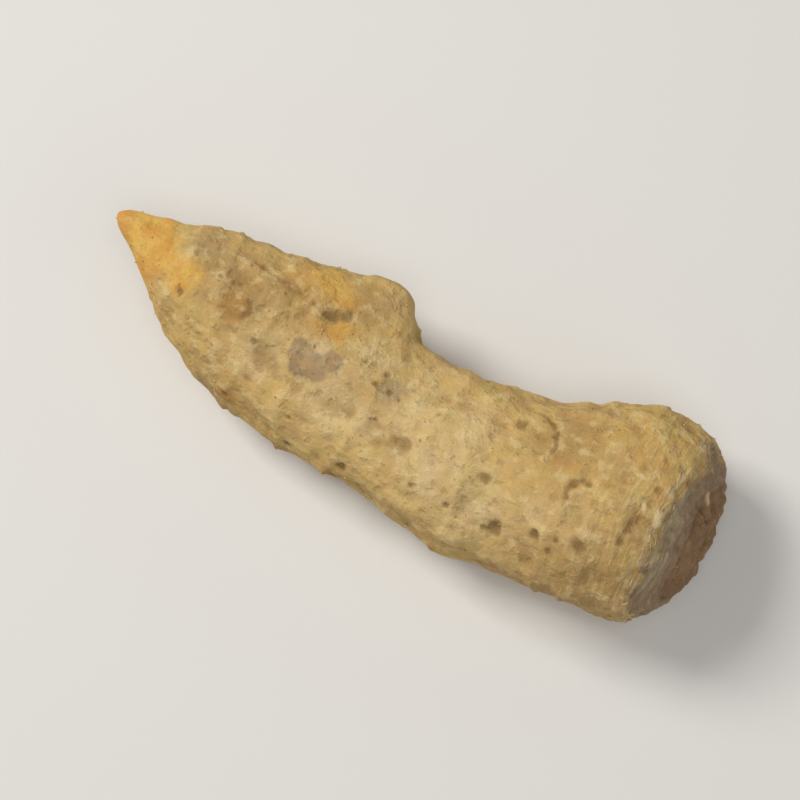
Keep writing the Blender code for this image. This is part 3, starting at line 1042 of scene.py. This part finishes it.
def part_of(tree, mask, share):
    """A mask made weaker by a share."""
    return worked(tree, "MULTIPLY", mask, share)


def layer(tree, under, mask, share, over):
    """Paint over paint: as much of the upper colour as the mask says, times a share."""
    return mixed(tree, part_of(tree, mask, share), under, over)


def add_bump(tree, shader, height, distance):
    """Bumps on the surface, so many metres high where the height is 1."""
    bump = place(tree, "ShaderNodeBump", {"Height": height, "Distance": distance, "Strength": 1.0})
    tree.links.new(bump.outputs["Normal"], shader.inputs["Normal"])


# %% [markdown]
# The skin's colour is built up like paint, each layer mixed over the last by its own mask: first the
# mottled ochre and its slow tints, whose brown near the broken end is partly painted shade, then dust on
# the ridges, rubbed and bruised places with one patch of painted shade, brown and painted shade in the
# hollows, flecks, pits and creases darkened partly by painted shade, and the torn end. The masks from the
# mesh are soft, because its points are a sixth of a millimetre apart, so a fine noise gives the small ones
# a crisp and ragged edge here.

# %% Colours of the skin
DUST_PALE = (0.740, 0.535, 0.225, 1)
DUST_THICK = (0.790, 0.618, 0.345, 1)
OCHRE = (0.580, 0.366, 0.106, 1)
TAN = (0.550, 0.336, 0.155, 1)
STRAW = (0.580, 0.440, 0.150, 1)
GOLD = (0.690, 0.430, 0.120, 1)
WARM_ORANGE = (0.600, 0.330, 0.085, 1)
# Brown of stains, and of the painted shade near the broken end.
STAIN_AND_SHADE_BROWN = (0.360, 0.215, 0.090, 1)
FLECK_BROWN = (0.310, 0.195, 0.070, 1)
FLECK_PALE = (0.870, 0.695, 0.355, 1)
BARE_ORANGE = (0.680, 0.335, 0.060, 1)
BARE_YELLOW = (0.760, 0.470, 0.105, 1)
# Grey of bruises, and of one patch of painted shade at the broken end.
BRUISE_AND_SHADE_GREY = (0.345, 0.250, 0.155, 1)
# Brown of the hollows: partly old skin and partly painted shade.
HOLLOW_BROWN_AND_SHADE = (0.340, 0.205, 0.072, 1)
# Dark brown of pits and cracks, and of the painted shade in the creases and the torn end's hollows.
PIT_AND_SHADE_BROWN = (0.170, 0.098, 0.034, 1)
SCAR_BROWN = (0.430, 0.235, 0.072, 1)
TORN_GREY = (0.430, 0.360, 0.215, 1)
TORN_BROWN = (0.310, 0.198, 0.122, 1)
TORN_PALE = (0.640, 0.520, 0.310, 1)
CORE_ORANGE = (0.330, 0.194, 0.090, 1)
CORE_BROWN = (0.240, 0.140, 0.070, 1)
CORE_PALE = (0.550, 0.390, 0.195, 1)
CHIP_PALE = (0.780, 0.600, 0.320, 1)


# %% The skin's material
def skin_patterns(tree, where, along):
    """The noises that several layers share."""
    return {
        "big": use_group(tree, mottling, Place=where, Size=4.2, Spread=0.14),
        "tint": use_group(tree, mottling, Place=moved(tree, where, 31, 7, 3), Size=2.6, Spread=0.12),
        "middle": use_group(tree, mottling, Place=moved(tree, where, 3, 57, 9), Size=1.7, Spread=0.12),
        "small": use_group(tree, mottling, Place=moved(tree, where, 5, 3, 71), Size=1.0, Spread=0.14),
        "dark": use_group(tree, flecks, Place=where, Size=0.9, From=0.53, Softness=0.17),
        "pale": use_group(tree, flecks, Place=moved(tree, where, 9, 9, 40), Size=1.0, From=0.5, Softness=0.2),
        "fibre ends": use_group(tree, flecks, Place=where, Size=0.42, From=0.60, Softness=0.07),
        "rough": scaled_noise(tree, where, 0.22, 3.0, 0.6),
        "grain": use_group(tree, powder, Place=where, Size=0.16),
        "rings": scaled_noise(tree, stretched(tree, along, 0.34, 1.8, 1.8), 1.0, 3.0, 0.6, 0.5),
    }


def skin_colour(tree, pattern):
    """The layers of the sound skin, from the mottled ground to the pits."""
    colour = layer(tree, OCHRE, pattern["big"], 0.55, DUST_PALE)
    colour = layer(tree, colour, attribute(tree, "pale"), 0.80, DUST_THICK)
    colour = layer(tree, colour, attribute(tree, "warm"), 0.75, WARM_ORANGE)
    thin = between(tree, attribute(tree, "pale"), 0.0, 1.0, 1.0, 0.55)
    for name, share, tint in (("tint", 0.60, TAN), ("middle", 0.60, STRAW), ("small", 0.40, GOLD)):
        colour = layer(tree, colour, pattern[name], part_of(tree, thin, share), tint)
    colour = layer(tree, colour, attribute(tree, "high"), 0.50, DUST_PALE)
    # Brown stains, and painted shade near the broken end's lower side.
    colour = layer(tree, colour, attribute(tree, "brown"), 0.66, STAIN_AND_SHADE_BROWN)
    bare = crisp(tree, attribute(tree, "bare"), pattern["rough"], 0.5, 0.42)
    orange = mixed(tree, pattern["middle"], BARE_ORANGE, BARE_YELLOW)
    colour = layer(tree, colour, bare, 0.92, orange)
    # Bruises, and one patch of painted shade on the broken end's upper side.
    bruise_and_shade = crisp(tree, attribute(tree, "grey"), pattern["rough"], 0.45, 0.42)
    colour = layer(tree, colour, bruise_and_shade, 0.85, layer(tree, BRUISE_AND_SHADE_GREY, pattern["small"], 0.5, TAN))
    colour = layer(tree, colour, attribute(tree, "scar"), 0.88, SCAR_BROWN)
    # Painted shade and the brown of old skin, darkening the hollows.
    colour = layer(tree, colour, attribute(tree, "low"), 0.60, HOLLOW_BROWN_AND_SHADE)
    sound = between(tree, bare, 0.0, 1.0, 1.0, 0.25)
    colour = layer(tree, colour, pattern["dark"], part_of(tree, sound, 0.32), FLECK_BROWN)
    colour = layer(tree, colour, pattern["pale"], part_of(tree, sound, 0.36), FLECK_PALE)
    stroke_share = part_of(tree, attribute(tree, "near_end"), 0.32)
    for start, end, tint in ((0.46, 0.32, FLECK_BROWN), (0.54, 0.68, FLECK_PALE)):
        colour = layer(tree, colour, between(tree, pattern["rings"], start, end), stroke_share, tint)
    # Pits, and the creases, whose dark colour is partly painted shade.
    pits = crisp(tree, attribute(tree, "pit"), pattern["rough"], 0.50, 0.30, 0.7)
    return layer(tree, colour, pits, 0.55, PIT_AND_SHADE_BROWN)


def torn_colour(tree, pattern, strokes):
    """The torn end: a grey collar inside the lip, brown flesh with strokes that run round it, and the
    horny core."""
    grey = worked(tree, "MULTIPLY", between(tree, strokes, 0.34, 0.58), attribute(tree, "collar"))
    flesh = layer(tree, TORN_BROWN, between(tree, strokes, 0.42, 0.60), 0.35, TORN_GREY)
    flesh = mixed(tree, grey, flesh, TORN_GREY)
    flesh = layer(tree, flesh, between(tree, strokes, 0.58, 0.74), 0.55, TORN_PALE)
    core = mixed(tree, pattern["middle"], CORE_ORANGE, CORE_BROWN)
    core = layer(tree, core, pattern["dark"], 0.50, PIT_AND_SHADE_BROWN)
    core = layer(tree, core, pattern["fibre ends"], 0.45, CORE_PALE)
    core = layer(tree, core, attribute(tree, "cracks"), 0.70, PIT_AND_SHADE_BROWN)
    colour = mixed(tree, attribute(tree, "core"), flesh, core)
    colour = layer(tree, colour, pattern["tint"], 0.35, TORN_BROWN)
    # Painted shade, darkening the hollows of the torn end.
    return layer(tree, colour, attribute(tree, "low"), 0.50, PIT_AND_SHADE_BROWN)


def make_skin_material():
    """The sound skin, the torn end over it, and then the frayed lip, the flakes and a fine grain. Height
    is a sum of the same patterns, each times its depth in mm."""
    material, tree, shader = new_material("dried_turmeric_skin")
    where = millimetres(tree)
    along = attribute(tree, "flow", "Vector")
    pattern = skin_patterns(tree, where, along)
    strokes = scaled_noise(tree, stretched(tree, along, 0.32, 2.6, 2.6), 1.0, 3.0, 0.6, 0.4)
    torn_edge = crisp(tree, attribute(tree, "torn"), strokes, 0.5, 0.25, 1.4)
    colour = mixed(tree, torn_edge, skin_colour(tree, pattern), torn_colour(tree, pattern, strokes))
    frayed = worked(tree, "MULTIPLY", attribute(tree, "lip"), between(tree, strokes, 0.50, 0.62))
    colour = layer(tree, colour, frayed, 0.8, TORN_PALE)
    chips = crisp(tree, attribute(tree, "chip"), pattern["rough"], 0.5, 0.4)
    colour = layer(tree, colour, chips, 0.75, CHIP_PALE)
    shade = between(tree, pattern["grain"], 0.45, 1.05, 0.90, 1.10)
    colour = place(tree, "ShaderNodeVectorMath", {0: colour, "Scale": shade}, operation="SCALE").outputs[0]
    tree.links.new(colour, shader.inputs["Base Color"])
    tree.links.new(between(tree, attribute(tree, "bare"), 0.0, 1.0, 0.93, 0.70), shader.inputs["Roughness"])
    shader.inputs["Specular IOR Level"].default_value = 0.30
    height = worked(tree, "MULTIPLY", pattern["rings"], part_of(tree, attribute(tree, "near_end"), 0.09))
    for name, depth in (("grain", 0.055), ("dark", -0.060), ("pale", 0.050), ("small", 0.050)):
        height = worked(tree, "MULTIPLY_ADD", pattern[name], depth, height)
    add_bump(tree, shader, height, MM)
    print(material.name, "has", len(tree.nodes), "nodes")
    return material


# %% The skin
skin_marks = {"low": hollow_brown_and_shade_mask, "high": high_mask, "pit": pit_mask, "scar": scar_mask, "bare": bare_mask,
              "grey": bruise_and_shade_mask, "pale": pale_mask, "warm": warm_mask, "brown": brown_stain_and_shade_mask, "torn": torn,
              "core": core_mask, "collar": collar, "cracks": cracks, "lip": lip, "chip": chip_mask,
              "near_end": near_end, "flow": flow}
skin_marks = {name: mask[None] for name, mask in skin_marks.items()}
skin_mesh = closed_grids_mesh("root_skin", surface[None], skin_marks)
add_piece("root_skin", skin_mesh, make_skin_material(), ROOT_NODE)

# %% [markdown]
# ## Splinters and crumbs
# Where the root snapped, its tough fibres tore and lie along the rim as pale splinters. A splinter is a
# thin tube carried along a short path on the skin, lifting at its loose end. All of them are worked out
# at once: the arrays have an axis for the splinter, one for the place along it and one for the place
# round it, and the same closed grids as before make the mesh.

# %% Paths on the skin
def on_skin(rows, columns):
    """Points and normals of the skin at places between the grid's own, blended from the four around."""
    rows = np.clip(rows, 0, ROWS - 1e-6)
    row, column = np.floor(rows).astype(int), np.floor(columns).astype(int)
    down, over = (rows - row)[..., None], (columns - column)[..., None]
    column, beside = column % COLUMNS, (column + 1) % COLUMNS
    blended = []
    for grid in (surface, skin_normals):
        upper = grid[row, column] * (1 - over) + grid[row, beside] * over
        lower = grid[row + 1, column] * (1 - over) + grid[row + 1, beside] * over
        blended.append(upper * (1 - down) + lower * down)
    return blended


def thin_tubes(middles, outward, radii, sides):
    """Closed grids of tubes along paths: middles and outward directions by tube and place along it."""
    forward = np.gradient(middles, axis=1)
    forward /= np.linalg.norm(forward, axis=-1, keepdims=True)
    sideways = np.cross(forward, outward)
    sideways /= np.linalg.norm(sideways, axis=-1, keepdims=True)
    upward = np.cross(sideways, forward)
    turn_round = (np.arange(sides) * math.tau / sides)[None, None, :, None]
    ring = np.cos(turn_round) * upward[:, :, None] + np.sin(turn_round) * sideways[:, :, None]
    return middles[:, :, None] + ring * radii[:, :, None, None]


# %% A material for loose pieces
GRAIN_DEPTH = 0.02 * MM


def make_loose_material(name, dark, pale, patch_size, grain_size, roughness, shine):
    """Small loose pieces: clouded between two colours, and dusted with fine grain."""
    material, tree, shader = new_material(name)
    where = millimetres(tree)
    patch = use_group(tree, mottling, Place=where, Size=patch_size, Spread=0.12)
    tree.links.new(mixed(tree, patch, dark, pale), shader.inputs["Base Color"])
    shader.inputs["Roughness"].default_value = roughness
    shader.inputs["Specular IOR Level"].default_value = shine
    add_bump(tree, shader, use_group(tree, powder, Place=where, Size=grain_size), GRAIN_DEPTH)
    return material


# %% Splinters on the rim
SPLINTERS = 190
SPLINTER_SEED = 505
SPLINTER_STEPS = 9
SPLINTER_SIDES = 6
SPLINTER_OUT = (0.84, 0.995)
SPLINTER_LENGTH = (0.3, 1.6)
SPLINTER_RADIUS = (0.018, 0.050)
SPLINTER_LIFT = (0.0, 0.12)
SPLINTER_DRIFT = 2.0
SPLINTER_BEND = 0.8
ROUND_MM = 44.0
PALE_FIBRE = (0.640, 0.500, 0.260, 1)
BROWN_FIBRE = (0.340, 0.230, 0.110, 1)


def splinter_grids():
    """Each path starts on the rim and runs mostly round it. Radii swell from nothing and shrink again."""
    draw = np.random.default_rng(SPLINTER_SEED)
    end_start = np.searchsorted(T[:, 0], 1 - END_ROWS)
    out = draw.uniform(*SPLINTER_OUT, SPLINTERS)
    rows = np.interp(-out, -OUT[end_start:, 0], np.arange(end_start, ROWS + 1))
    columns = draw.uniform(0, COLUMNS, SPLINTERS)
    length = draw.uniform(*SPLINTER_LENGTH, SPLINTERS)
    share = np.linspace(0, 1, SPLINTER_STEPS)
    way = draw.choice((-1.0, 1.0), SPLINTERS) * length / ROUND_MM * COLUMNS
    drift = draw.normal(0, SPLINTER_DRIFT, SPLINTERS) * length
    bend = draw.normal(0, SPLINTER_BEND, (2, SPLINTERS, 1))
    wave = bend[0] * share * (1 - share) * 4 + bend[1] * np.sin(math.tau * share) * 0.5
    row_path = rows[:, None] + drift[:, None] * share + wave
    points, outward = on_skin(row_path, columns[:, None] + way[:, None] * share)
    swell = np.sin(math.pi * (0.06 + 0.88 * share)) ** 0.7
    radius = draw.uniform(*SPLINTER_RADIUS, SPLINTERS)[:, None] * swell
    lift = draw.uniform(*SPLINTER_LIFT, SPLINTERS)[:, None] * share**2 + 0.1 * radius
    tubes = thin_tubes(points + outward * lift[..., None] * MM, outward, radius * MM, SPLINTER_SIDES)
    tubes[..., 2] = np.maximum(tubes[..., 2], low[2])
    return tubes


splinters_mesh = closed_grids_mesh("rim_splinters", splinter_grids())
fibre = make_loose_material("torn_fibre", BROWN_FIBRE, PALE_FIBRE, 1.2, 0.10, 0.80, 0.30)
add_piece("rim_splinters", splinters_mesh, fibre)

# %% [markdown]
# Crumbs of powder stick wherever the skin is rough, most of them in the hollows and along the rim. Each
# is a small ball with a few faces, made uneven by moving its points in and out, and sunk a little.

# %% Crumbs of powder
CRUMBS = 520
CRUMB_SEED = 808
CRUMB_ROWS = 5
CRUMB_COLUMNS = 6
CRUMB_RADIUS = (0.030, 0.105)
CRUMB_STANDS = 0.35
CRUMB_LOWEST = 0.3
CRUMB_UNEVEN = (0.65, 1.2)
CRUMB_PALE = (0.680, 0.510, 0.250, 1)
CRUMB_YELLOW = (0.620, 0.400, 0.110, 1)


def crumb_grids():
    """Balls at points drawn from the skin's own, more likely where it is low or on the rim."""
    draw = np.random.default_rng(CRUMB_SEED)
    likely = (0.3 + 0.5 * hollow_brown_and_shade_mask + lip) * (OUT + 0.02) * (surface[..., 2] > CRUMB_LOWEST * MM)
    likely = likely * eased(noise(space / 2.4, 340), -0.15, 0.35) * (1 - 0.8 * torn)
    picked = draw.choice(likely.size, CRUMBS, replace=False, p=(likely / likely.sum()).ravel())
    smallest, largest = CRUMB_RADIUS
    radius = smallest + (largest - smallest) * draw.random(CRUMBS) ** 2.5
    outward = skin_normals.reshape(-1, 3)[picked]
    middles = surface.reshape(-1, 3)[picked] + outward * radius[:, None] * CRUMB_STANDS * MM
    down = np.linspace(math.pi, 0, CRUMB_ROWS)[:, None]
    around = (np.arange(CRUMB_COLUMNS) * math.tau / CRUMB_COLUMNS)[None]
    across = np.sin(down)
    ball = np.stack([np.cos(down) + 0 * around, across * np.cos(around), across * np.sin(around)], -1)
    uneven = draw.uniform(*CRUMB_UNEVEN, (CRUMBS, CRUMB_ROWS, CRUMB_COLUMNS, 1))
    uneven[:, [0, -1]] = uneven[:, [0, -1]].mean(axis=2, keepdims=True)
    return middles[:, None, None] + ball * uneven * radius[:, None, None, None] * MM


crumbs_mesh = closed_grids_mesh("powder_crumbs", crumb_grids())
crumb_dust = make_loose_material("turmeric_powder", CRUMB_YELLOW, CRUMB_PALE, 1.6, 0.08, 0.95, 0.20)
add_piece("powder_crumbs", crumbs_mesh, crumb_dust)
